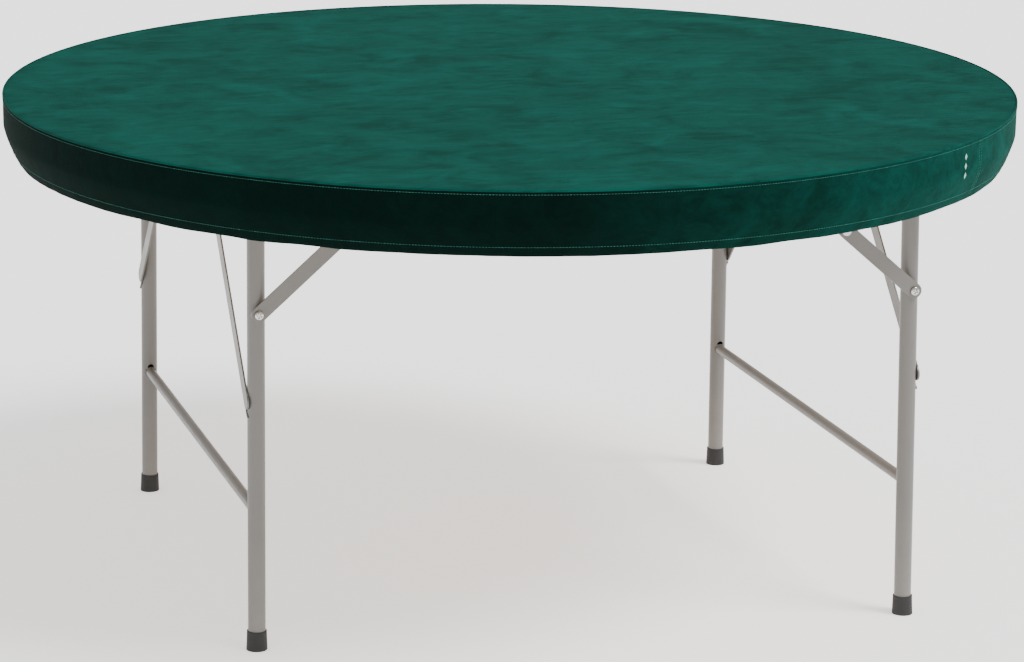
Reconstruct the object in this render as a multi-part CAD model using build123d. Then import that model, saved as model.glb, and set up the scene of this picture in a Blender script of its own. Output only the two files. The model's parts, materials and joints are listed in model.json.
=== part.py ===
"""Round folding card table, 152 cm across and 74 cm high, under a fitted cloth cover.

Millimetres, +Z up, origin on the floor under the middle of the top.  The two leg frames stand at -X (left) and
+X (right) and fold inwards, the right one under the left one.  Near is -Y and far is +Y.  Every leg part is
drawn once, for the far leg of the left frame, and then mirrored or turned to its own place.
"""

from build123d import *
import math
import os

# ---- top and cover ----
TABLE_HEIGHT = 740.0
COVER_R = 761.0
HEM_R = 743.0
HEM_HEIGHT = 648.0
FABRIC = 2.0
PANEL_R = 757.0
PANEL_THICK = 22.0
EDGE_THICK = 5.0
EDGE_DEPTH = 44.0

# ---- leg frames ----
PIVOT_X = 470.0  # pivot axis from the middle of the table
PIVOT_HEIGHTS = {"left": 690.0, "right": 662.0}  # apart by more than a tube, so that the frames stack
FRAME_SHIFT = 55.0  # each frame sits this far off the middle, left to the far side and right to the near side
HALF_SPREAD = 382.0  # leg to middle of its frame, at the pivot
SPREAD_LEAN = 12.0  # extra half spread at the floor
OUTWARD_LEAN = 8.0  # how far the feet stand outside the pivots
TUBE_R, TUBE_WALL = 12.7, 1.5
LEG_OVER_PIVOT = 14.0  # leg above the pivot axis
CROSSBAR_R, CROSSBAR_WALL, CROSSBAR_Z = 8.0, 1.2, 205.0
DRAIN_R, DRAIN_RISE = 5.0, 9.0  # hole on the inner side of the leg, over the crossbar
DIAGONAL_WIDTH, DIAGONAL_THICK = 22.0, 2.5
DIAGONAL_FOOT_Z = 367.0
DIAGONAL_SLOPE = 0.9  # run over rise
FOOT_HEIGHT, SOLE = 28.0, 5.0

# ---- knee braces ----
BOLT_Z = 496.0
BRACE_RISE_ANGLE = 41.0
LINK_WIDTH, LINK_THICK = 22.0, 3.0
BRACKET_RISES = {"left": -3.0, "right": 6.0}  # bracket pin over the pivot axis
LAYER_GAP = 0.5  # between plates that turn side by side
SPACER = 4.0
PLATE = 3.0
BRACKET_HALF, FLANGE = 25.0, 26.0

# ---- rails ----
RAIL_Y = 255.0
RAIL_WIDTH, RAIL_DEPTH, RAIL_WALL = 30.0, 12.0, 1.5
RAIL_HALF_LENGTH = 520.0
RAIL_SCREWS = (-380.0, -130.0, 130.0, 380.0)
SADDLE_SCREWS = (-26.0, 26.0)
SADDLE_WALL, SADDLE_WIDTH, SADDLE_WING = 2.5, 26.0, 34.0

# ---- fixings ----
BOLT_R, BOLT_HEAD_R, BOLT_HEAD = 3.0, 6.5, 4.2
PIN_R, PIN_HEAD_R, PIN_HEAD = 4.0, 7.0, 2.5
SCREW_R, SCREW_HEAD_R, SCREW_HEAD = 2.2, 4.6, 2.4
TURNING = 0.1  # radial clearance where one part turns in another
FIXED = 0.05  # radial clearance of a hole round a screw or bolt

PANEL_TOP = TABLE_HEIGHT - FABRIC
PANEL_BOTTOM = PANEL_TOP - PANEL_THICK
RAIL_BOTTOM = PANEL_BOTTOM - RAIL_DEPTH
FLOOR = Pos(0, 0, -50) * Box(4000, 4000, 100)


# ---- helpers ----
def along_y(shape):
    """Turns a shape drawn along +Z so that it points along +Y."""
    return Rot(-90, 0, 0) * shape


def rod(radius, low, high):
    """A cylinder on the Z axis between two heights."""
    return Pos(0, 0, (low + high) / 2) * Cylinder(radius, high - low)


def tube(radius, wall, low, high):
    """A tube on the Z axis."""
    return rod(radius, low, high) - rod(radius - wall, low, high)


def turned(*corners):
    """A solid of revolution about Z from (radius, height) corners."""
    face = make_face(Polyline(*[(r, 0, z) for r, z in corners], close=True))
    return revolve(face, Axis.Z)


def flat_bar(start, end, width, thick, near_y, holes=(0, 0)):
    """A round-ended flat bar in the XZ plane between two hole centres, outwards from near_y."""
    length = math.dist(start, end)
    outline = SlotCenterToCenter(length, width)
    for x, radius in ((-length / 2, holes[0]), (length / 2, holes[1])):
        if radius:
            outline -= Pos(x, 0) * Circle(radius)
    rise = math.degrees(math.atan2(end[1] - start[1], end[0] - start[0]))
    middle = ((start[0] + end[0]) / 2, near_y + thick, (start[1] + end[1]) / 2)
    return Pos(*middle) * Rot(0, -rise, 0) * Rot(90, 0, 0) * extrude(outline, thick)


def domed_pin(radius, length, head_radius, head):
    """A pin from z = 0 up to length, with a domed head above it."""
    edge = length + head * 0.35
    dome = RadiusArc((0, length + head), (head_radius, edge), head_radius * 1.5)
    rest = Polyline((head_radius, edge), (head_radius, length), (radius, length), (radius, 0), (0, 0), (0, length + head))
    return revolve(Rot(90, 0, 0) * make_face(dome + rest), Axis.Z)


def screw(length):
    """A pan-head screw that points up, with the underside of its head at z = 0."""
    head = fillet(rod(SCREW_HEAD_R, -SCREW_HEAD, 0).edges().group_by(Axis.Z)[0], 1.4)
    return head + rod(SCREW_R, 0, length - 4) + Pos(0, 0, length - 2) * Cone(SCREW_R, 0.6, 4)


def hole(x, y, low, high):
    return Pos(x, y, 0) * rod(SCREW_R + FIXED, low, high)


parts = {}


def add(name, *shapes):
    solids = [s for shape in shapes for s in shape.solids()]
    parts[name] = solids[0] if len(solids) == 1 else Compound(children=solids)


# ---- leg frame and braces ----
class LegFrame:
    """One folding end of the table, in its own axes: the left end, far leg, middle of the frame at y = 0."""

    def __init__(self, side):
        self.side = side
        self.pivot_z = PIVOT_HEIGHTS[side]
        self.lean_x = math.degrees(math.atan2(OUTWARD_LEAN, self.pivot_z))
        self.lean_y = math.degrees(math.atan2(SPREAD_LEAN, self.pivot_z))
        self.bolt_drop = (self.pivot_z - BOLT_Z) / math.cos(math.radians(self.lean_x))
        self.set_brace_points()
        self.lower_layer = self.leg_y(self.bolt_drop) + TUBE_R + SPACER
        self.upper_layer = self.lower_layer + LINK_THICK + LAYER_GAP
        self.ear_layer = self.upper_layer + LINK_THICK + LAYER_GAP

    def set_brace_points(self):
        """Bolt, knee and bracket as (x, z), standing.  Folded, the two links lie over each other in one line."""
        lean = self.bolt_drop * math.sin(math.radians(self.lean_x))
        self.bolt = (-PIVOT_X - lean, BOLT_Z)
        bracket_z = self.pivot_z + BRACKET_RISES[self.side]
        self.bracket = (self.bolt[0] + (bracket_z - BOLT_Z) / math.tan(math.radians(BRACE_RISE_ANGLE)), bracket_z)
        folded_bolt = (-PIVOT_X + self.pivot_z - BOLT_Z, self.pivot_z - lean)
        open_length = math.dist(self.bolt, self.bracket)
        lower = (open_length + math.dist(folded_bolt, self.bracket)) / 2
        self.knee = tuple(a + (b - a) * lower / open_length for a, b in zip(self.bolt, self.bracket))

    # placing
    def hung(self, shape):
        """From axes with the pivot as Y and the leg plane as YZ, to the lean of the standing frame."""
        return Pos(-PIVOT_X, 0, self.pivot_z) * Rot(0, self.lean_x, 0) * shape

    def on_leg(self, shape):
        return Pos(0, HALF_SPREAD, 0) * Rot(self.lean_y, 0, 0) * shape

    def at_bolt(self, shape):
        return self.hung(Pos(0, 0, -self.bolt_drop) * along_y(shape))

    def leg_y(self, drop):
        return HALF_SPREAD + SPREAD_LEAN * drop / self.pivot_z

    def placed(self, shape, leg=None):
        """Moves a part to its end of the table, and to the near or far leg where one is named."""
        if leg and (leg == "far") != (self.side == "left"):
            shape = mirror(shape, about=Plane.XZ)
        shape = Pos(0, FRAME_SHIFT, 0) * shape
        return shape if self.side == "left" else Rot(0, 0, 180) * shape

    # welded frame
    def leg(self):
        body = self.on_leg(tube(TUBE_R, TUBE_WALL, SOLE - self.pivot_z, LEG_OVER_PIVOT))
        drain_drop = self.pivot_z - CROSSBAR_Z - DRAIN_RISE
        body -= Pos(0, self.leg_y(drain_drop), -drain_drop) * along_y(rod(DRAIN_R, -2 * TUBE_R, 0))
        y = self.leg_y(self.bolt_drop)
        body -= Pos(0, y, -self.bolt_drop) * along_y(rod(BOLT_R + FIXED, -2 * TUBE_R, 2 * TUBE_R))
        return self.hung(body)

    def between_legs(self, radius, wall, drop):
        """A tube along Y, coped at both ends to the legs."""
        end = self.leg_y(drop)
        half = Pos(0, 0, -drop) * along_y(tube(radius, wall, 0, end))
        half -= self.on_leg(rod(TUBE_R, -self.pivot_z, 3 * LEG_OVER_PIVOT))
        half = half.solids().sort_by(Axis.Y)[0]
        return self.hung(half + mirror(half, about=Plane.XZ))

    def diagonal(self):
        """Flat bar welded to the outer side of a leg and of the pivot tube."""
        drop = self.pivot_z - DIAGONAL_FOOT_Z
        low = (self.leg_y(drop), -drop)
        high = (self.leg_y(drop) - DIAGONAL_SLOPE * drop, 0.0)
        bar = flat_bar(low, high, DIAGONAL_WIDTH, DIAGONAL_THICK, TUBE_R)
        return self.hung(Rot(0, 0, 90) * bar)

    def foot(self):
        """Tapered rubber cap, cut level with the floor."""
        low, high = -self.pivot_z - 2, FOOT_HEIGHT - self.pivot_z
        cap = Pos(0, 0, (low + high) / 2) * Cone(15.4, 14.3, high - low)
        cap -= rod(TUBE_R, SOLE - self.pivot_z, high + 1)
        return self.hung(self.on_leg(cap)) - FLOOR

    def plug(self):
        """Plastic plug in the top of a leg."""
        cap = fillet(rod(TUBE_R, LEG_OVER_PIVOT, LEG_OVER_PIVOT + 3).edges().group_by(Axis.Z)[-1], 1.5)
        stem = rod(TUBE_R - TUBE_WALL - FIXED, LEG_OVER_PIVOT - 8, LEG_OVER_PIVOT)
        return self.hung(self.on_leg(cap + stem))

    # fixings on the brace bolt
    def brace_bolt(self):
        inner_end = self.leg_y(self.bolt_drop) - TUBE_R - 8.0
        length = self.lower_layer + LINK_THICK + 0.3 - inner_end
        return self.at_bolt(Pos(0, 0, inner_end) * domed_pin(BOLT_R, length, BOLT_HEAD_R, BOLT_HEAD))

    def brace_nut(self):
        """Flange nut on the inner side of the leg."""
        top = self.leg_y(self.bolt_drop) - TUBE_R - 0.3
        body = extrude(RegularPolygon(5.0, 6, major_radius=False), 4.4) + rod(6.5, 4.2, 5.2)
        body -= rod(BOLT_R + FIXED, -1, 6)
        return self.at_bolt(Pos(0, 0, top - 5.2) * body)

    def brace_spacer(self):
        ring = tube(7.0, 7.0 - BOLT_R - FIXED, 0.3, SPACER - 0.1)
        return self.at_bolt(Pos(0, 0, self.leg_y(self.bolt_drop) + TUBE_R) * ring)

    # braces
    def lower_link(self):
        holes = (BOLT_R + TURNING, PIN_R)
        return flat_bar(self.bolt, self.knee, LINK_WIDTH, LINK_THICK, self.lower_layer, holes)

    def upper_link(self):
        holes = (PIN_R, PIN_R + TURNING)
        return flat_bar(self.knee, self.bracket, LINK_WIDTH, LINK_THICK, self.upper_layer, holes)

    def knee_rivet(self):
        """Headed outer half of the rivet, fast in the upper link."""
        pin = domed_pin(PIN_R, LINK_THICK, PIN_HEAD_R, PIN_HEAD)
        return Pos(self.knee[0], self.upper_layer, self.knee[1]) * along_y(pin)

    def knee_rivet_end(self):
        """Flush inner end of the rivet, fast in the lower link, so that the halves turn on each other."""
        return Pos(self.knee[0], self.lower_layer, self.knee[1]) * along_y(rod(PIN_R, 0, LINK_THICK))

    def bracket_pin(self):
        pin = domed_pin(PIN_R, LINK_THICK + LAYER_GAP + PLATE, PIN_HEAD_R, PIN_HEAD)
        return Pos(self.bracket[0], self.upper_layer, self.bracket[1]) * along_y(pin)

    def bracket_screw_places(self):
        return [(self.bracket[0] + x, self.ear_layer + PLATE + FLANGE / 2) for x in (-15.0, 15.0)]

    def brace_bracket(self):
        """Bent plate: an ear that carries the pin of the brace, and a flange screwed up into the top."""
        rise = PANEL_BOTTOM - self.bracket[1]
        radius = 13.0
        outline = Circle(radius) + make_face(
            Polyline((-radius, 0), (radius, 0), (BRACKET_HALF, rise), (-BRACKET_HALF, rise), close=True)
        )
        ear = Rot(90, 0, 0) * extrude(outline - Circle(PIN_R), -PLATE)
        flange = Pos(0, (PLATE + FLANGE) / 2, rise - PLATE / 2) * Box(2 * BRACKET_HALF, PLATE + FLANGE, PLATE)
        plate = Pos(self.bracket[0], self.ear_layer, self.bracket[1]) * (ear + flange)
        for x, y in self.bracket_screw_places():
            plate -= hole(x, y, PANEL_BOTTOM - 2 * PLATE, PANEL_BOTTOM + 1)
        return plate

    def bracket_screws(self):
        return [Pos(x, y, PANEL_BOTTOM - PLATE) * screw(15.0) for x, y in self.bracket_screw_places()]

    def pilot_holes(self):
        return [hole(x, y, PANEL_BOTTOM - 1, PANEL_BOTTOM + 13) for x, y in self.bracket_screw_places()]


FRAMES = (LegFrame("left"), LegFrame("right"))


# ---- cloth cover ----
def cover():
    piping_r = 1.6
    piping_at = COVER_R - 0.6 - piping_r
    add("cover_top", rod(piping_at - piping_r - 0.2, PANEL_TOP, TABLE_HEIGHT))
    add("cover_piping", Pos(0, 0, TABLE_HEIGHT - piping_r) * Torus(piping_at, piping_r))
    top, bend = TABLE_HEIGHT - 2 * piping_r - 0.2, PANEL_TOP - EDGE_DEPTH
    outer = [(COVER_R, top), (COVER_R, bend), (HEM_R, HEM_HEIGHT)]
    add("cover_skirt", turned(*outer, *[(r - FABRIC, z) for r, z in reversed(outer)]))
    add("cover_hem_elastic", tube(HEM_R - FABRIC - 0.2, 1.6, HEM_HEIGHT, HEM_HEIGHT + 12))


# ---- board with its edge ----
def panel():
    board_r = PANEL_R - EDGE_THICK
    board = rod(board_r, PANEL_BOTTOM, PANEL_TOP)
    for frame in FRAMES:
        for leg in ("near", "far"):
            for pilot in frame.pilot_holes():
                board -= frame.placed(pilot, leg)
    for x in RAIL_SCREWS:
        for y in (-RAIL_Y, RAIL_Y):
            board -= hole(x, y, PANEL_BOTTOM - 1, PANEL_BOTTOM + 13)
    add("table_board", board)
    low, lip = PANEL_TOP - EDGE_DEPTH, 14.0
    bevel = 2.0
    add(
        "board_edge",
        turned(
            (board_r, PANEL_TOP), (PANEL_R - bevel, PANEL_TOP), (PANEL_R, PANEL_TOP - bevel),
            (PANEL_R, low + bevel), (PANEL_R - bevel, low), (board_r - lip, low),
            (board_r - lip, low + 4), (board_r, low + 4),
        ),
    )


# ---- rails and pivot saddles ----
def rails():
    outside = fillet(Box(2 * RAIL_HALF_LENGTH, RAIL_WIDTH, RAIL_DEPTH).edges().filter_by(Axis.X), 2.0)
    hollow = Box(2 * RAIL_HALF_LENGTH + 2, RAIL_WIDTH - 2 * RAIL_WALL, RAIL_DEPTH - 2 * RAIL_WALL)
    screws = []
    for name, y in (("rail_near", -RAIL_Y), ("rail_far", RAIL_Y)):
        rail = Pos(0, y, PANEL_BOTTOM - RAIL_DEPTH / 2) * (outside - hollow)
        for x in RAIL_SCREWS:
            rail -= hole(x, y, RAIL_BOTTOM - 1, PANEL_BOTTOM + 1)
            screws.append(Pos(x, y, RAIL_BOTTOM) * screw(RAIL_DEPTH + 12))
        for end in (-PIVOT_X, PIVOT_X):
            for x in SADDLE_SCREWS:
                rail -= hole(end + x, y, RAIL_BOTTOM - 1, RAIL_BOTTOM + RAIL_WALL + 1)
        add(name, rail)
    add("rail_screws", *screws)


def saddle(pivot_z):
    """Pressed strap that holds a pivot tube under a rail, with the tube's axis as its Y axis."""
    bore = TUBE_R + TURNING
    rise = RAIL_BOTTOM - pivot_z
    body = along_y(rod(bore + SADDLE_WALL, -SADDLE_WIDTH / 2, SADDLE_WIDTH / 2))
    body += Pos(0, 0, rise / 2) * Box(2 * (bore + SADDLE_WALL), SADDLE_WIDTH, rise)
    body += Pos(0, 0, rise - SADDLE_WALL / 2) * Box(2 * SADDLE_WING, SADDLE_WIDTH, SADDLE_WALL)
    body -= along_y(rod(bore, -SADDLE_WIDTH, SADDLE_WIDTH))
    body -= Pos(0, 0, (rise + 1) / 2) * Box(2 * bore, 2 * SADDLE_WIDTH, rise + 1)
    top = Pos(0, 0, rise - 50) * Box(500, 500, 100)
    body = body & top
    for x in SADDLE_SCREWS:
        body -= hole(x, 0, rise - 2 * SADDLE_WALL, rise + 1)
    return body


def saddles():
    screws = []
    for frame, x in zip(FRAMES, (-PIVOT_X, PIVOT_X)):
        for leg, y in (("near", -RAIL_Y), ("far", RAIL_Y)):
            add(f"{frame.side}_{leg}_saddle", Pos(x, y, frame.pivot_z) * saddle(frame.pivot_z))
            screws += [Pos(x + at, y, RAIL_BOTTOM - SADDLE_WALL) * screw(10.0) for at in SADDLE_SCREWS]
    add("saddle_screws", *screws)


def frames_and_braces():
    pins, screws = [], []
    for frame in FRAMES:
        side = frame.side
        add(f"{side}_pivot_tube", frame.placed(frame.between_legs(TUBE_R, TUBE_WALL, 0.0)))
        bar = frame.between_legs(CROSSBAR_R, CROSSBAR_WALL, frame.pivot_z - CROSSBAR_Z)
        add(f"{side}_crossbar", frame.placed(bar))
        for name in ("brace_bolt", "brace_nut", "brace_spacer", "plug", "knee_rivet_end"):
            shape = getattr(frame, name)()
            add(f"{side}_{name}s", *[frame.placed(shape, leg) for leg in ("near", "far")])
        for leg in ("near", "far"):
            for name in ("leg", "diagonal", "foot", "lower_link", "upper_link", "knee_rivet", "brace_bracket"):
                add(f"{side}_{leg}_{name}", frame.placed(getattr(frame, name)(), leg))
            pins.append(frame.placed(frame.bracket_pin(), leg))
            screws += [frame.placed(s, leg) for s in frame.bracket_screws()]
    add("bracket_pins", *pins)
    add("bracket_screws", *screws)


cover()
panel()
rails()
saddles()
frames_and_braces()

os.makedirs("parts", exist_ok=True)
for name, shape in parts.items():
    export_step(shape, f"parts/{name}.step")
print(len(parts), "nodes")
for frame in FRAMES:
    print(frame.side, "bolt", frame.bolt, "knee", frame.knee, "bracket", frame.bracket, "layers", frame.lower_layer)
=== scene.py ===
"""Looks of a round folding card table with a fitted velvet cover.  Metres, +Z up, origin on the floor."""
import json
import math
import random

import bpy
from mathutils import Matrix, Vector


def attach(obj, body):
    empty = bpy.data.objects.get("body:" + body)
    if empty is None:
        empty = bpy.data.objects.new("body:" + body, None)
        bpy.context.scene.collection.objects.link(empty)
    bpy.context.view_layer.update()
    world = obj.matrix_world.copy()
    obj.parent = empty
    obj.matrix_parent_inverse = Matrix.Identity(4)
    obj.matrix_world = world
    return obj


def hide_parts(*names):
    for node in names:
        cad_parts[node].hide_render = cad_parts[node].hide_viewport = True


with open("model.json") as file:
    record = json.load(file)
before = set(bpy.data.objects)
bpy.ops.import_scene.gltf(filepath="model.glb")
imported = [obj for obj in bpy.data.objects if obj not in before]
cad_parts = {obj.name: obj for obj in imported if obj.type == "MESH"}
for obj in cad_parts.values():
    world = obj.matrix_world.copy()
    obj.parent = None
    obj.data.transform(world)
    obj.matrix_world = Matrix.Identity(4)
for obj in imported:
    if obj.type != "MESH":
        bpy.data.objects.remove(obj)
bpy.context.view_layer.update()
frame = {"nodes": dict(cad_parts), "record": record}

bl_info = {
    "name": "Folding card table looks",
    "version": (1, 0, 0),
    "blender": (4, 5, 0),
    "location": "View3D > Sidebar > Card table",
    "description": "Builds the cover, stitching, welds, screws and finishes of a folding card table",
    "category": "Object",
}

COVER_R, HEM_R = 0.7605, 0.7425
TOP_Z, BEND_Z, HEM_Z = 0.7398, 0.694, 0.648
PIPING_R = 0.0016
TUBE_R, CROSSBAR_R = 0.0127, 0.008
PIVOT_X, PIVOT_Z = 0.470, {"left": 0.690, "right": 0.662}
HALF_SPREAD, SPREAD_LEAN, OUT_LEAN, SHIFT = 0.382, 0.012, 0.008, 0.055
CROSSBAR_Z, BOLT_Z, DIAGONAL_Z = 0.205, 0.496, 0.367
DIAGONAL_SLOPE = 0.9  # run over rise
DIAGONAL_EDGE = 0.0112  # middle of the flat bar to a bead
SPACER_AND_LINK = 0.004 + 0.0033  # leg to the underside of a bolt head
SHANK_R, SHANK_LENGTH = 0.003, 0.046
SEAM_ANGLES = (math.radians(-46.7), math.radians(133.3))
MOTIF_ANGLE = math.radians(-50.5)


# ---- shader helpers ----
class Tree:
    """Short calls for adding nodes and wires to one node tree."""

    def __init__(self, tree):
        self.tree = tree

    def node(self, kind, inputs=None, **settings):
        n = self.tree.nodes.new(kind)
        for key, value in settings.items():
            setattr(n, key, value)
        for key, value in (inputs or {}).items():
            if isinstance(value, bpy.types.NodeSocket):
                self.tree.links.new(value, n.inputs[key])
            else:
                n.inputs[key].default_value = value
        return n

    def noise(self, at, scale, detail=3.0, rough=0.5, distort=0.0):
        inputs = {"Vector": at, "Scale": scale, "Detail": detail, "Roughness": rough, "Distortion": distort}
        return self.node("ShaderNodeTexNoise", inputs).outputs["Fac"]

    def range(self, value, low, high, to_low=0.0, to_high=1.0):
        inputs = {0: value, 1: low, 2: high, 3: to_low, 4: to_high}
        return self.node("ShaderNodeMapRange", inputs, clamp=True).outputs[0]

    def mix(self, fac, a, b):
        n = self.node("ShaderNodeMix", {0: fac, 6: a, 7: b}, data_type="RGBA")
        return n.outputs[2]

    def math(self, operation, a, b=0.0):
        return self.node("ShaderNodeMath", {0: a, 1: b}, operation=operation).outputs[0]

    def stretched(self, at, scale):
        return self.node("ShaderNodeMapping", {"Vector": at, "Scale": scale}).outputs[0]


def shader_group(name, inputs, outputs):
    group = bpy.data.node_groups.new(name, "ShaderNodeTree")
    for label, kind, value in inputs:
        socket = group.interface.new_socket(label, in_out="INPUT", socket_type=kind)
        if value is not None:
            socket.default_value = value
    for label, kind in outputs:
        group.interface.new_socket(label, in_out="OUTPUT", socket_type=kind)
    t = Tree(group)
    return t, t.node("NodeGroupInput").outputs, t.node("NodeGroupOutput").inputs


def pile_group():
    """Crushed pile: patches and streaks where the nap lies over, as a mask and a bumped normal."""
    t, i, o = shader_group(
        "Crushed pile",
        [("Vector", "NodeSocketVector", None), ("Patch Scale", "NodeSocketFloat", 9.0),
         ("Streak Scale", "NodeSocketFloat", 26.0), ("Depth", "NodeSocketFloat", 0.35)],
        [("Mask", "NodeSocketFloat"), ("Fibre", "NodeSocketFloat"), ("Normal", "NodeSocketVector")],
    )
    patch = t.noise(i["Vector"], i["Patch Scale"], 5.0, 0.62, 0.9)
    lean = t.stretched(i["Vector"], (0.45, 1.5, 1.0))
    streak = t.noise(lean, i["Streak Scale"], 6.0, 0.68, 1.6)
    both = t.math("ADD", t.math("MULTIPLY", patch, 0.55), t.math("MULTIPLY", streak, 0.45))
    fibre = t.noise(i["Vector"], 1400.0, 2.0, 0.6)
    first = t.node("ShaderNodeBump", {"Strength": i["Depth"], "Distance": 0.004, "Height": both})
    fine = {"Strength": 0.35, "Distance": 0.0006, "Height": fibre, "Normal": first.outputs[0]}
    bump = t.node("ShaderNodeBump", fine)
    for label, out in (("Mask", t.range(both, 0.38, 0.62)), ("Fibre", fibre), ("Normal", bump.outputs[0])):
        t.tree.links.new(out, o[label])
    return t.tree


def surface_group():
    """Handled surface: a scratch mask, a dust mask that gathers low down, and a fine grained normal."""
    t, i, o = shader_group(
        "Handled surface",
        [("Vector", "NodeSocketVector", None), ("Grain Scale", "NodeSocketFloat", 700.0),
         ("Grain", "NodeSocketFloat", 0.1), ("Dust", "NodeSocketFloat", 0.3)],
        [("Scratch", "NodeSocketFloat"), ("Dust", "NodeSocketFloat"), ("Mottle", "NodeSocketFloat"),
         ("Normal", "NodeSocketVector")],
    )
    long_way = t.stretched(i["Vector"], (1.0, 1.0, 0.06))
    scratch = t.range(t.noise(long_way, 620.0, 4.0, 0.7), 0.69, 0.76)
    scuff = t.range(t.noise(i["Vector"], 14.0, 3.0), 0.5, 0.66)
    mottle = t.noise(i["Vector"], 24.0, 4.0, 0.6)
    height = t.node("ShaderNodeSeparateXYZ", {0: i["Vector"]}).outputs[2]
    low = t.range(height, 0.18, 0.0)
    dust = t.math("MULTIPLY", t.math("MULTIPLY", low, mottle), i["Dust"])
    grain = t.noise(i["Vector"], i["Grain Scale"], 2.0)
    bump = t.node("ShaderNodeBump", {"Strength": i["Grain"], "Distance": 0.0004, "Height": grain})
    outs = {"Scratch": t.math("MULTIPLY", scratch, scuff), "Dust": dust, "Mottle": mottle, "Normal": bump.outputs[0]}
    for label, out in outs.items():
        t.tree.links.new(out, o[label])
    return t.tree


def fresh(name):
    material = bpy.data.materials.new(name)
    material.use_nodes = True
    material.node_tree.nodes.clear()
    t = Tree(material.node_tree)
    at = t.node("ShaderNodeTexCoord").outputs["Object"]
    return material, t, at


def close(t, color, rough, normal, **more):
    inputs = {"Base Color": color, "Roughness": rough, "Normal": normal}
    inputs.update({key.replace("_", " "): value for key, value in more.items()})
    shader = t.node("ShaderNodeBsdfPrincipled", inputs)
    t.node("ShaderNodeOutputMaterial", {"Surface": shader.outputs[0]})


def velvet(name, dark, light, scale=1.0, shade=False, pile=None):
    material, t, at = fresh(name)
    group = t.node("ShaderNodeGroup", node_tree=pile)
    t.tree.links.new(at, group.inputs["Vector"])
    group.inputs["Patch Scale"].default_value = 9.0 * scale
    group.inputs["Streak Scale"].default_value = 26.0 * scale
    color = t.mix(group.outputs["Mask"], dark, light)
    between = t.range(group.outputs["Fibre"], 0.3, 0.7, 0.0, 0.25)
    color = t.mix(between, color, (*[c * 0.4 for c in dark[:3]], 1))
    if shade:
        # Painted shade: the skirt colour is pulled towards near black along object X, darkest on the -X side, away from
        # the key light
        across = t.node("ShaderNodeSeparateXYZ", {0: at}).outputs[0]
        painted_skirt_shade = t.range(across, -0.15, 0.7, 0.93, 0.0)
        color = t.mix(painted_skirt_shade, color, (0.0006, 0.0035, 0.0024, 1))
    sheen = 0.01 if shade else 0.04
    close(t, color, 0.85, group.outputs["Normal"], Sheen_Weight=sheen, Sheen_Roughness=0.4,
          Sheen_Tint=(0.25, 0.75, 0.62, 1), Specular_IOR_Level=0.03)
    return material


def solid_finish(name, color, rough, group, metal=0.0, grain=0.1, grain_scale=700.0, bare=None, dust=0.3, vary=0.06):
    """Paint, plating, plastic or rubber: mottled a little, scratched to a bare colour and dusty near the floor."""
    material, t, at = fresh(name)
    g = t.node("ShaderNodeGroup", {"Vector": at}, node_tree=group)
    g.inputs["Grain"].default_value = grain
    g.inputs["Grain Scale"].default_value = grain_scale
    g.inputs["Dust"].default_value = dust
    low = (*[c * (1 - 2 * vary) for c in color], 1)
    high = (*[min(1.0, c * (1 + 2 * vary)) for c in color], 1)
    tone = t.mix(g.outputs["Mottle"], low, high)
    tone = t.mix(g.outputs["Scratch"], tone, (*(bare or [c * 1.25 for c in color]), 1))
    tone = t.mix(g.outputs["Dust"], tone, (0.42, 0.39, 0.34, 1))
    spread = t.range(g.outputs["Mottle"], 0.2, 0.8, rough - 0.06, rough + 0.08)
    close(t, tone, spread, g.outputs["Normal"], Metallic=metal)
    return material


def wood(name):
    material, t, at = fresh(name)
    long_way = t.stretched(at, (1.2, 22.0, 22.0))
    grain = t.noise(long_way, 3.0, 8.0, 0.65, 1.2)
    color = t.mix(t.range(grain, 0.3, 0.7), (0.42, 0.26, 0.13, 1), (0.68, 0.49, 0.29, 1))
    bump = t.node("ShaderNodeBump", {"Strength": 0.2, "Distance": 0.0005, "Height": grain})
    close(t, color, 0.5, bump.outputs[0])
    return material


def ribbed(name, color):
    """Woven elastic, with ribs that run round the hem."""
    material, t, at = fresh(name)
    wave = t.node("ShaderNodeTexWave", {"Vector": at, "Scale": 320.0, "Distortion": 0.6}, bands_direction="Z")
    tone = t.mix(wave.outputs["Fac"], (*[c * 0.5 for c in color], 1), (*color, 1))
    bump = t.node("ShaderNodeBump", {"Strength": 0.5, "Distance": 0.0005, "Height": wave.outputs["Fac"]})
    close(t, tone, 0.8, bump.outputs[0], Sheen_Weight=0.2)
    return material


# ---- mesh helpers ----
def mesh_object(name, verts, faces, material, body, smooth=True):
    mesh = bpy.data.meshes.new(name)
    mesh.from_pydata([tuple(v) for v in verts], [], faces)
    mesh.materials.append(material)
    mesh.polygons.foreach_set("use_smooth", [smooth] * len(mesh.polygons))
    obj = bpy.data.objects.new(name, mesh)
    bpy.context.scene.collection.objects.link(obj)
    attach(obj, body)
    return obj


def lattice(rows, columns, closed=True):
    """Quads between rows of points, each row closed into a ring or left open."""
    last = columns if closed else columns - 1
    return [
        (r * columns + c, r * columns + (c + 1) % columns, (r + 1) * columns + (c + 1) % columns, (r + 1) * columns + c)
        for r in range(rows - 1) for c in range(last)
    ]


def ring(radius, z, count, ripple=None):
    out = []
    for k in range(count):
        a = 2 * math.pi * k / count
        dr, dz = ripple(a) if ripple else (0.0, 0.0)
        out.append(((radius + dr) * math.cos(a), (radius + dr) * math.sin(a), z + dz))
    return out


def waves(seed, terms, low, high):
    """A smooth random function of angle, about 1 high at most."""
    draw = random.Random(seed)
    parts = [(draw.randint(low, high), draw.uniform(0, 6.3), draw.uniform(0.4, 1.0)) for _ in range(terms)]
    total = sum(p[2] for p in parts)
    return lambda a: sum(w * math.sin(n * a + p) for n, p, w in parts) / total


def skirt_radius(z):
    share = max(0.0, min(1.0, (BEND_Z - z) / (BEND_Z - HEM_Z)))
    return COVER_R - (COVER_R - HEM_R) * share**1.35


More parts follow.
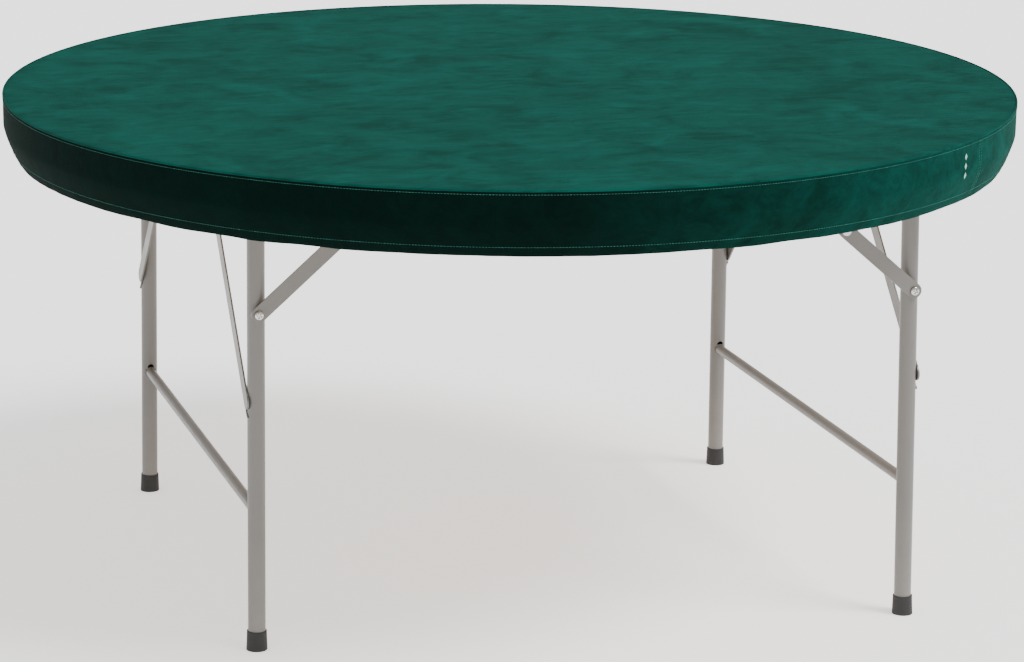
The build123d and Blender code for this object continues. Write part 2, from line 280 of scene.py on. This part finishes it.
def leg_line(side, leg, z):
    """Middle of a leg at a height, and which way along X the outer side of its frame faces."""
    sign = -1 if side == "left" else 1
    drop = PIVOT_Z[side] - z
    half = HALF_SPREAD + SPREAD_LEAN * drop / PIVOT_Z[side]
    y = (half if leg == "far" else -half) - sign * SHIFT
    return Vector((sign * (PIVOT_X + OUT_LEAN * drop / PIVOT_Z[side]), y, z)), sign


def bead_tree():
    """Geometry nodes: beads along curves, used for stitches and for the ripples of a weld."""
    tree = bpy.data.node_groups.new("Row of beads", "GeometryNodeTree")
    face = tree.interface
    face.new_socket("Geometry", in_out="INPUT", socket_type="NodeSocketGeometry")
    for label, kind, value in (
        ("Spacing", "NodeSocketFloat", 0.004), ("Size", "NodeSocketVector", (0.0003, 0.0003, 0.0014)),
        ("Variation", "NodeSocketFloat", 0.1), ("Seed", "NodeSocketInt", 7),
    ):
        face.new_socket(label, in_out="INPUT", socket_type=kind).default_value = value
    face.new_socket("Material", in_out="INPUT", socket_type="NodeSocketMaterial")
    face.new_socket("Geometry", in_out="OUTPUT", socket_type="NodeSocketGeometry")
    t = Tree(tree)
    i = t.node("NodeGroupInput").outputs
    points = t.node("GeometryNodeCurveToPoints", {"Curve": i["Geometry"], "Length": i["Spacing"]}, mode="LENGTH")
    ball = t.node("GeometryNodeMeshUVSphere", {"Segments": 8, "Rings": 6, "Radius": 1.0})
    near_one = t.node("ShaderNodeMath", {0: 1.0, 1: i["Variation"]}, operation="SUBTRACT")
    over_one = t.node("ShaderNodeMath", {0: 1.0, 1: i["Variation"]}, operation="ADD")
    limits = {2: near_one.outputs[0], 3: over_one.outputs[0], 8: i["Seed"]}
    vary = t.node("FunctionNodeRandomValue", limits, data_type="FLOAT")
    size = t.node("ShaderNodeVectorMath", {0: i["Size"]}, operation="SCALE")
    tree.links.new(vary.outputs[1], size.inputs["Scale"])
    placed = t.node("GeometryNodeInstanceOnPoints", {
        "Points": points.outputs["Points"], "Instance": ball.outputs["Mesh"],
        "Rotation": points.outputs["Rotation"], "Scale": size.outputs[0]})
    real = t.node("GeometryNodeRealizeInstances", {0: placed.outputs[0]})
    smooth = t.node("GeometryNodeSetShadeSmooth", {0: real.outputs[0]})
    painted = t.node("GeometryNodeSetMaterial", {"Geometry": smooth.outputs[0], "Material": i["Material"]})
    t.node("NodeGroupOutput", {0: painted.outputs[0]})
    return tree


def beads(name, paths, tree, material, body, spacing, size, variation, seed):
    """Runs the bead tree over the paths and keeps the result as a plain mesh."""
    curve = bpy.data.curves.new(name + "_path", "CURVE")
    curve.dimensions = "3D"
    for points, cyclic in paths:
        spline = curve.splines.new("POLY")
        spline.points.add(len(points) - 1)
        for p, at in zip(spline.points, points):
            p.co = (*at, 1.0)
        spline.use_cyclic_u = cyclic
    holder = bpy.data.objects.new(name + "_path", curve)
    bpy.context.scene.collection.objects.link(holder)
    modifier = holder.modifiers.new("Beads", "NODES")
    modifier.node_group = tree
    values = {"Spacing": spacing, "Size": size, "Variation": variation, "Seed": seed, "Material": material}
    for item in tree.interface.items_tree:
        if item.in_out == "INPUT" and item.name in values:
            modifier[item.identifier] = values[item.name]
    bpy.context.view_layer.update()
    graph = bpy.context.evaluated_depsgraph_get()
    mesh = bpy.data.meshes.new_from_object(holder.evaluated_get(graph), depsgraph=graph)
    bpy.data.objects.remove(holder)
    mesh.name = name
    obj = bpy.data.objects.new(name, mesh)
    bpy.context.scene.collection.objects.link(obj)
    if not mesh.materials:
        mesh.materials.append(material)
    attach(obj, body)
    return obj


MATERIALS = {}


def make_materials(looks):
    pile, handled = pile_group(), surface_group()
    dark, light = (*looks.velvet_dark, 1), (*looks.velvet_light, 1)
    paint = tuple(looks.frame_paint)
    MATERIALS.update({
        "cover_velvet": velvet("Velvet top", dark, light, pile=pile),
        "skirt": velvet("Velvet skirt", dark, light, 2.0, shade=True, pile=pile),
        "hem_elastic": ribbed("Elastic", (0.03, 0.10, 0.08)),
        "plywood": wood("Plywood"),
        "edge_plastic": solid_finish("Edge plastic", (0.04, 0.04, 0.042), 0.5, handled, grain=0.3),
        "zinc_steel": solid_finish("Zinc plate", (0.62, 0.63, 0.65), 0.34, handled, 1.0, 0.05, vary=0.1),
        "frame_paint": solid_finish("Powder coat", paint, 0.36, handled, 0.0, 0.12, 900.0, vary=0.03),
        "bright_fixings": solid_finish("Nickel plate", (0.56, 0.55, 0.53), 0.2, handled, 1.0, 0.02),
        "foot_rubber": solid_finish("Foot rubber", (0.006, 0.006, 0.0063), 0.62, handled, grain=0.4, dust=0.03),
        "black_plastic": solid_finish("Black plastic", (0.025, 0.025, 0.027), 0.45, handled, grain=0.3),
        "spacer_nylon": solid_finish("Nylon", (0.74, 0.72, 0.66), 0.5, handled, grain=0.1),
        "weld": solid_finish("Painted weld", tuple(c * 0.9 for c in paint), 0.4, handled, grain=0.3, grain_scale=500.0),
        "thread": solid_finish("Thread", (0.02, 0.16, 0.12), 0.8, handled, grain=0.4),
        "motif": solid_finish("Motif thread", (0.30, 0.50, 0.42), 0.75, handled, grain=0.4),
    })


# ---- settings ----
class LooksSettings(bpy.types.PropertyGroup):
    velvet_dark: bpy.props.FloatVectorProperty(
        name="Velvet shade", description="Pile that leans away", subtype="COLOR", default=(0.0002, 0.036, 0.026))
    velvet_light: bpy.props.FloatVectorProperty(
        name="Velvet light", description="Pile that leans towards the light", subtype="COLOR", default=(0.0006, 0.075, 0.057))
    frame_paint: bpy.props.FloatVectorProperty(
        name="Frame paint", description="Powder coat of the leg frames", subtype="COLOR", default=(0.15, 0.142, 0.131))
    hem_wave: bpy.props.FloatProperty(
        name="Hem wave", description="How far the hem wanders up and down", unit="LENGTH", default=0.0012, min=0.0)
    stitch: bpy.props.FloatProperty(
        name="Stitch spacing", description="From one stitch to the next", unit="LENGTH", default=0.0042, min=0.001)


class StageSettings(bpy.types.PropertyGroup):
    sun: bpy.props.FloatProperty(name="Sun", description="Strength of the key light", default=3.2, min=0.0)
    glow: bpy.props.FloatProperty(name="Floor glow", description="Light of the floor itself", default=0.8, min=0.0)
    sky: bpy.props.FloatProperty(name="Sky", description="Strength of the white surroundings", default=0.85, min=0.0)


class TABLE_OT_finishes(bpy.types.Operator):
    """Give every solid of the table its finish"""

    bl_idname = "card_table.finishes"
    bl_label = "Finishes"

    def execute(self, context):
        make_materials(context.scene.card_table_looks)
        for part in frame["record"]["subparts"]:
            obj = frame["nodes"][part["node"]]
            obj.data.materials.clear()
            obj.data.materials.append(MATERIALS[part["material_slot"]])
        return {"FINISHED"}


class TABLE_OT_cover(bpy.types.Operator):
    """Build the cloth cover: top, piping and skirt"""

    bl_idname = "card_table.cover"
    bl_label = "Cloth cover"

    def execute(self, context):
        looks = context.scene.card_table_looks
        count, edge = 480, COVER_R - 2 * PIPING_R
        swell = waves(3, 7, 5, 31)
        rings = [0.004] + [edge * k / 60 for k in range(1, 58)] + [edge - 0.012, edge - 0.006, edge - 0.002, edge]
        verts = []
        for r in rings:
            lift = -0.0004 + 0.0003 * math.sin(r * 41.0)
            near_edge = max(0.0, 1 - (edge - r) / 0.012)
            verts += ring(r, TOP_Z + lift - 0.0007 * near_edge**3, count, lambda a: (0.0, 0.00015 * swell(a + r * 4)))
        faces = lattice(len(rings), count)
        faces = [tuple(reversed(f)) for f in faces] + [tuple(range(count))]
        top = mesh_object("cover_top_cloth", verts, faces,
                          MATERIALS["cover_velvet"], "table_top")
        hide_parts("cover_top")
        self.piping()
        self.skirt(looks, count * 2)
        return {"FINISHED"}

    def piping(self):
        count, around = 960, 10
        pucker = waves(5, 9, 60, 240)
        verts = []
        for j in range(around):
            b = 2 * math.pi * j / around
            verts += ring(
                COVER_R - PIPING_R + PIPING_R * math.cos(b), TOP_Z - PIPING_R + PIPING_R * math.sin(b), count,
                lambda a: (0.0001 * pucker(a), 0.0001 * pucker(a + 1)))
        faces = lattice(around, count)
        last = (around - 1) * count
        faces += [(last + c, last + (c + 1) % count, (c + 1) % count, c) for c in range(count)]
        obj = mesh_object("cover_piping_cloth", verts, [tuple(reversed(f)) for f in faces], MATERIALS["cover_velvet"],
                          "table_top")
        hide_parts("cover_piping")

    def skirt(self, looks, count):
        gather, wander, soft = waves(11, 12, 40, 150), waves(12, 8, 6, 44), waves(13, 6, 5, 21)
        top = TOP_Z - 2 * PIPING_R
        heights = [top - (top - HEM_Z) * k / 22 for k in range(23)]

        def row(z, inward):
            down = (top - z) / (top - HEM_Z)

            def ripple(a):
                off = [(a - s + math.pi) % (2 * math.pi) - math.pi for s in SEAM_ANGLES]
                seam = sum(0.0007 * math.exp(-((x / 0.003) ** 2)) for x in off)
                pull = 0.0011 * down**2 * gather(a) + 0.0009 * math.sin(down * math.pi) * soft(a)
                return pull - seam - inward, looks.hem_wave * down**3 * wander(a)

            return ring(skirt_radius(z) - 0.0006, z, count, ripple)

        rows = [row(z, 0.0) for z in heights]
        rows += [row(HEM_Z - 0.0008, 0.0009)] + [row(z, 0.0018) for z in reversed(heights[2:])]
        verts = [v for r in rows for v in r]
        obj = mesh_object("cover_skirt_cloth", verts, [tuple(reversed(f)) for f in lattice(len(rows), count)],
                          MATERIALS["skirt"], "table_top")
        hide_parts("cover_skirt")


class TABLE_OT_stitching(bpy.types.Operator):
    """Sew the stitch rows and the small motif on the skirt"""

    bl_idname = "card_table.stitching"
    bl_label = "Stitching and motif"

    def execute(self, context):
        tree = bpy.data.node_groups.get("Row of beads") or bead_tree()
        rows = [(ring(skirt_radius(z) - 0.0003, z, 720), True) for z in (0.7335, HEM_Z + 0.013)]
        for s in SEAM_ANGLES:
            for off in (-0.0035, 0.0035):
                a = s + off / COVER_R
                zs = [0.733 - k * 0.004 for k in range(20)]
                rows.append(([(skirt_radius(z) * math.cos(a), skirt_radius(z) * math.sin(a), z) for z in zs], False))
        beads("cover_stitches", rows, tree, MATERIALS["thread"], "table_top",
              context.scene.card_table_looks.stitch, (0.00035, 0.00035, 0.0014), 0.15, 21)
        self.motif()
        return {"FINISHED"}

    def motif(self):
        """Three small sewn lozenges, one over the other."""
        verts, faces = [], []
        for z in (0.7185, 0.705, 0.6915):
            first = len(verts)
            for u, v, out in ((0, 0.005, 0), (0.0035, 0, 0), (0, -0.005, 0), (-0.0035, 0, 0), (0, 0, 0.0006)):
                a = MOTIF_ANGLE + u / COVER_R
                r = skirt_radius(z + v) + 0.0004 + out
                verts.append((r * math.cos(a), r * math.sin(a), z + v))
            faces += [(first + 4, first + (k + 1) % 4, first + k) for k in range(4)]
        mesh_object("sewn_motif", verts, faces, MATERIALS["motif"], "table_top", smooth=False)


class TABLE_OT_welds(bpy.types.Operator):
    """Lay the weld beads of both leg frames"""

    bl_idname = "card_table.welds"
    bl_label = "Welds"

    def execute(self, context):
        tree = bpy.data.node_groups.get("Row of beads") or bead_tree()
        for seed, side in enumerate(("left", "right")):
            paths = []
            for leg in ("near", "far"):
                inward = 1 if leg == "near" else -1
                for z, radius in ((CROSSBAR_Z, CROSSBAR_R), (PIVOT_Z[side], TUBE_R)):
                    loop = []
                    for k in range(36):
                        a = 2 * math.pi * k / 36
                        at, _ = leg_line(side, leg, z + radius * math.sin(a))
                        depth = math.sqrt(max(0.0, TUBE_R**2 - (radius * math.cos(a)) ** 2))
                        loop.append(at + Vector((radius * 1.04 * math.cos(a), inward * (depth + 0.0004), 0)))
                    paths.append((loop, True))
                paths += self.diagonal_paths(side, leg, inward)
            beads(f"{side}_welds", paths, tree, MATERIALS["weld"], f"{side}_leg_frame",
                  0.0011, (0.0015, 0.0015, 0.0011), 0.22, 31 + seed)
        return {"FINISHED"}

    def diagonal_paths(self, side, leg, inward):
        """Short beads along both edges of the flat bar, where they cross the leg."""
        along = Vector((0, DIAGONAL_SLOPE * inward, 1.0)).normalized()
        across = Vector((0, along.z, -along.y))
        paths = []
        for shift in (-DIAGONAL_EDGE, DIAGONAL_EDGE):
            at, sign = leg_line(side, leg, DIAGONAL_Z)
            middle = at + across * shift - along * (across.y * shift / along.y)
            out = Vector((sign * (TUBE_R + 0.0006), 0, 0))
            paths.append(([middle + out + along * (k * 0.001 - 0.007) for k in range(15)], False))
        return paths


class TABLE_OT_screws(bpy.types.Operator):
    """Cut cross recesses in the pan heads of the brace bolts"""

    bl_idname = "card_table.screws"
    bl_label = "Brace bolts"

    def execute(self, context):
        for side in ("left", "right"):
            verts, faces = [], []
            for turn, leg in ((0.35, "near"), (0.9, "far")):
                self.bolt(side, leg, turn, verts, faces)
            obj = mesh_object(f"{side}_cross_head_bolts", verts, faces, MATERIALS["bright_fixings"],
                              f"{side}_leg_frame")
            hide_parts(f"{side}_brace_bolts")
        return {"FINISHED"}

    def bolt(self, side, leg, turn, verts, faces):
        """A heightfield over a disc: domed, with a tapered cross cut into it, on a plain shank."""
        at, _ = leg_line(side, leg, BOLT_Z)
        out = -1 if leg == "near" else 1
        radius, height, around, steps = 0.0065, 0.0042, 96, 26
        seat = TUBE_R + SPACER_AND_LINK

        def profile(r, a):
            dome = height * (0.38 + 0.62 * math.sqrt(max(0.0, 1 - (r / radius) ** 2.4)))
            x, y = abs(r * math.cos(a + turn)), abs(r * math.sin(a + turn))
            arm, reach = min(x, y), max(x, y)
            cut = max(0.0, min(1.0, (0.0011 - arm) / 0.0003)) * max(0.0, min(1.0, (0.0042 - reach) / 0.001))
            return dome - 0.002 * cut

        base = len(verts)
        stations = [(radius * k / steps, None) for k in range(1, steps + 1)]
        stations += [(radius, 0.0), (SHANK_R, 0.0), (SHANK_R, -SHANK_LENGTH)]
        for r, fixed in stations:
            for k in range(around):
                a = 2 * math.pi * k / around
                h = profile(r, a) if fixed is None else fixed
                verts.append(at + Vector((r * math.cos(a), out * (seat + h), r * math.sin(a))))
        quads = [tuple(base + i for i in f) for f in lattice(len(stations), around)]
        centre = len(verts)
        verts.append(at + Vector((0, out * (seat + profile(0.0, 0.0)), 0)))
        fan = [(centre, base + (k + 1) % around, base + k) for k in range(around)]
        found = fan + [tuple(reversed(f)) for f in quads]
        faces += [tuple(reversed(f)) for f in found] if out < 0 else found


class TABLE_OT_stage(bpy.types.Operator):
    """Set the white floor, the lights and the camera"""

    bl_idname = "card_table.stage"
    bl_label = "Stage"

    def execute(self, context):
        settings, scene = context.scene.card_table_stage, context.scene
        mesh = bpy.data.meshes.new("Floor")
        mesh.from_pydata([(-40, -40, 0), (40, -40, 0), (40, 60, 0), (-40, 60, 0)], [], [(0, 1, 2, 3)])
        floor = bpy.data.objects.new("Floor", mesh)
        scene.collection.objects.link(floor)
        material, t, at = fresh("White floor")
        bump = t.node("ShaderNodeBump", {"Strength": 0.01, "Distance": 0.001, "Height": t.noise(at, 3.0)})
        close(t, (0.93, 0.93, 0.93, 1), 0.9, bump.outputs[0], Specular_IOR_Level=0.0,
              Emission_Color=(1, 1, 1, 1), Emission_Strength=settings.glow)
        mesh.materials.append(material)
        world = bpy.data.worlds.new("White")
        world.use_nodes = True
        back = world.node_tree.nodes["Background"]
        back.inputs["Color"].default_value = (1, 1, 1, 1)
        back.inputs["Strength"].default_value = settings.sky
        scene.world = world
        light = bpy.data.lights.new("Key", "SUN")
        light.energy, light.angle = settings.sun, math.radians(24)
        key = bpy.data.objects.new("Key", light)
        key.rotation_euler = Vector((-0.80, 0.62, -1.35)).to_track_quat("-Z", "Y").to_euler()
        scene.collection.objects.link(key)
        self.camera(scene)
        return {"FINISHED"}

    def camera(self, scene):
        yaw, pitch, roll = -0.302916, 0.257075, 0.0093725
        ahead = Vector((-math.sin(yaw) * math.cos(pitch), math.cos(yaw) * math.cos(pitch), -math.sin(pitch)))
        flat = Vector((math.cos(yaw), math.sin(yaw), 0))
        up = flat.cross(ahead)
        right = math.cos(roll) * flat + math.sin(roll) * up
        top = math.cos(roll) * up - math.sin(roll) * flat
        data = bpy.data.cameras.new("Camera")
        data.lens, data.sensor_width = 116.07, 36.0
        data.clip_end = 200.0
        camera = bpy.data.objects.new("Camera", data)
        turn = Matrix((right, top, -ahead)).transposed().to_4x4()
        camera.matrix_world = Matrix.Translation((-1.4642, -4.7063, 1.6478)) @ turn
        scene.collection.objects.link(camera)
        scene.camera = camera


STEPS = (TABLE_OT_finishes, TABLE_OT_cover, TABLE_OT_stitching, TABLE_OT_welds, TABLE_OT_screws, TABLE_OT_stage)


class TABLE_PT_panel(bpy.types.Panel):
    """Settings and steps of the card table"""

    bl_idname = "TABLE_PT_panel"
    bl_label = "Card table"
    bl_space_type = "VIEW_3D"
    bl_region_type = "UI"
    bl_category = "Card table"

    def draw(self, context):
        for settings in (context.scene.card_table_looks, context.scene.card_table_stage):
            for name in settings.__annotations__:
                self.layout.prop(settings, name)
        for step in STEPS:
            self.layout.operator(step.bl_idname)


CLASSES = (LooksSettings, StageSettings, *STEPS, TABLE_PT_panel)


def register():
    for item in CLASSES:
        bpy.utils.register_class(item)
    bpy.types.Scene.card_table_looks = bpy.props.PointerProperty(type=LooksSettings)
    bpy.types.Scene.card_table_stage = bpy.props.PointerProperty(type=StageSettings)


def unregister():
    del bpy.types.Scene.card_table_stage
    del bpy.types.Scene.card_table_looks
    for item in reversed(CLASSES):
        bpy.utils.unregister_class(item)


def main():
    register()
    for step in STEPS:
        group, name = step.bl_idname.split(".")
        getattr(getattr(bpy.ops, group), name)()


if __name__ == "__main__":
    main()
